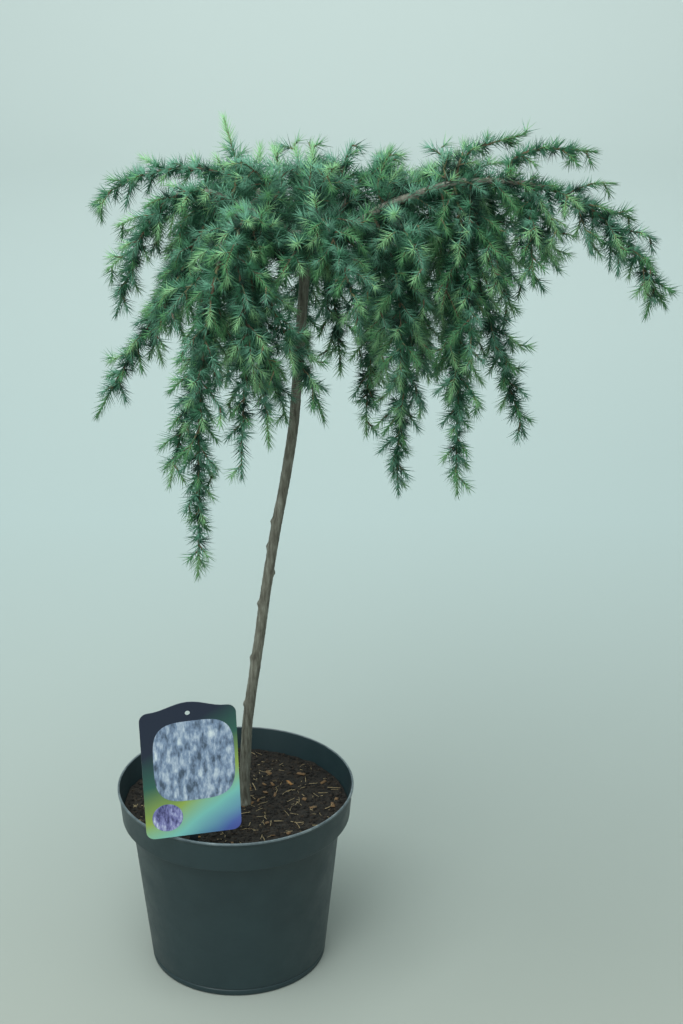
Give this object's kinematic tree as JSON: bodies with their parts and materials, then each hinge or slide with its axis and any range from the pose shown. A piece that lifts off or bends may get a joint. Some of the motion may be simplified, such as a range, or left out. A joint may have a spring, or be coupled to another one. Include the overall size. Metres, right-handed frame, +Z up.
{
  "type": "potted weeping blue deodar cedar",
  "caption": "Weeping deodar cedar grafted on a slim bare stem, with arching boughs and hanging blue-green shoots, in a round dark nursery pot with a plain plant label.",
  "frame": {"origin": "middle of the flat underside of the pot", "axes": "+Z up, -Y towards the front with the label at the front left, +X towards the tip of the longest bough"},
  "size_m": [0.5832, 0.3866, 0.9307],
  "materials": {
    "pot_plastic": "dark slate moulded plastic, dull satin, with a thin pale worn lip",
    "compost": "dark moist compost with pale fibres",
    "bark": "young grey-brown bark with bud scars",
    "needles": "blue-green needles, some with a pale bloom",
    "label_card": "smooth printed card with a plain pattern of colours"
  },
  "bodies": {
    "root": {"pot": "pot_plastic", "soil": "compost", "trunk": "bark", "plant_label": "label_card", "bough_left": "bark", "bough_right": "bark", "bough_front_left": "bark", "bough_front_right": "bark", "bough_front": "bark", "bough_back": "bark", "bough_back_left": "bark", "bough_back_right": "bark", "bough_left_outer": "bark", "bough_front_left_low": "bark", "bough_right_mid": "bark", "bough_right_far": "bark", "bough_right_back": "bark", "foliage_crown_top": "needles", "foliage_crown_left": "needles", "foliage_crown_right": "needles", "foliage_crown_front": "needles", "foliage_crown_front_right": "needles", "foliage_crown_back": "needles", "foliage_top_shoot": "needles", "foliage_left_arch": "needles", "foliage_left_fall": "needles", "foliage_left_low": "needles", "foliage_left_clump": "needles", "foliage_front_left": "needles", "foliage_low_left": "needles", "foliage_lowest": "needles", "foliage_low_middle": "needles", "foliage_front": "needles", "foliage_front_low": "needles", "foliage_over_trunk": "needles", "foliage_by_trunk": "needles", "foliage_front_short": "needles", "foliage_front_bright": "needles", "foliage_right_front": "needles", "foliage_right_inner": "needles", "foliage_right_tuft": "needles", "foliage_right_middle": "needles", "foliage_right_crest": "needles", "foliage_right_low": "needles", "foliage_right_outer": "needles", "foliage_right_clump": "needles", "foliage_right_pale": "needles", "foliage_upper_shoot": "needles", "foliage_upper_far": "needles", "foliage_right_tip": "needles", "foliage_hanging_near": "needles", "foliage_hanging_far": "needles", "foliage_back_left": "needles", "foliage_back_left_low": "needles", "foliage_back": "needles", "foliage_back_low": "needles", "foliage_back_right": "needles", "foliage_back_inner": "needles", "foliage_far_back": "needles", "foliage_far_back_low": "needles"}
  },
  "joints": []
}
